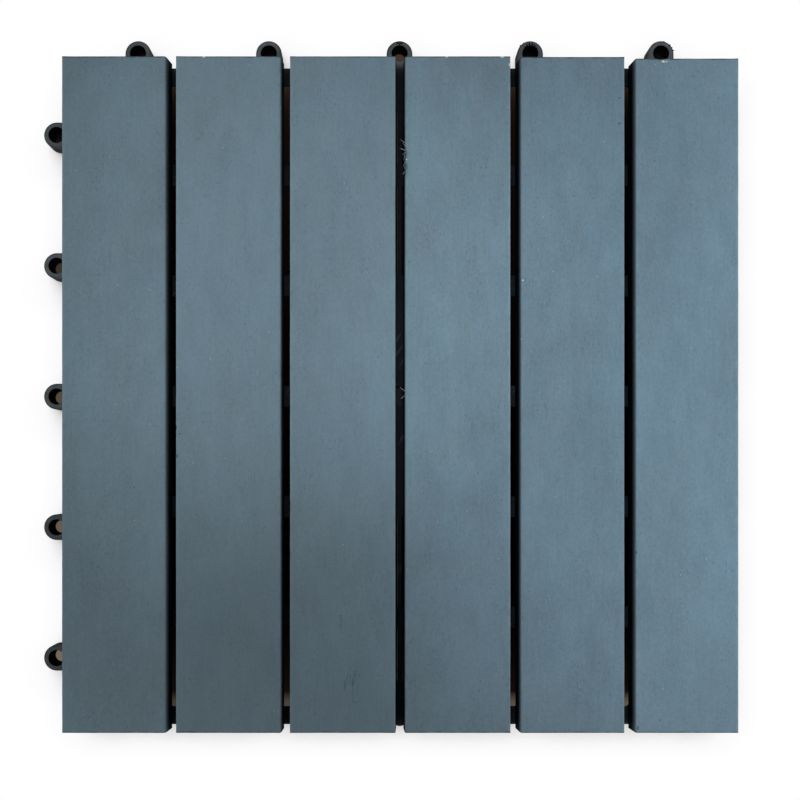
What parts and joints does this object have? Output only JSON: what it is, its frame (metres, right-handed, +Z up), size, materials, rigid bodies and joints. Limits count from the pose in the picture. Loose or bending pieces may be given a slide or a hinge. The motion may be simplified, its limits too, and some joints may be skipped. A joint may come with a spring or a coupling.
{
  "type": "interlocking deck tile",
  "caption": "Square deck tile of parallel stained wood slats screwed to a moulded grid base, with ring sockets on two sides and pegs on the other two to link tiles.",
  "frame": {"origin": "middle of the tile on the floor plane, at the foot of the base's centre boss", "axes": "+Z up out of the deck, +Y along the slats towards a side with sockets, +X across the slats towards a side with pegs"},
  "size_m": [0.3116, 0.3116, 0.0265],
  "materials": {
    "base_plastic": "near-black moulded polypropylene, fine satin grain",
    "stained_wood": "blue-grey water based stain over straight grained hardwood, matt",
    "screw_steel": "zinc plated"
  },
  "bodies": {
    "root": {"base_grid": "base_plastic", "slat_1": "stained_wood", "slat_2": "stained_wood", "slat_3": "stained_wood", "slat_4": "stained_wood", "slat_5": "stained_wood", "slat_6": "stained_wood", "slat_screws": "screw_steel"}
  },
  "joints": []
}
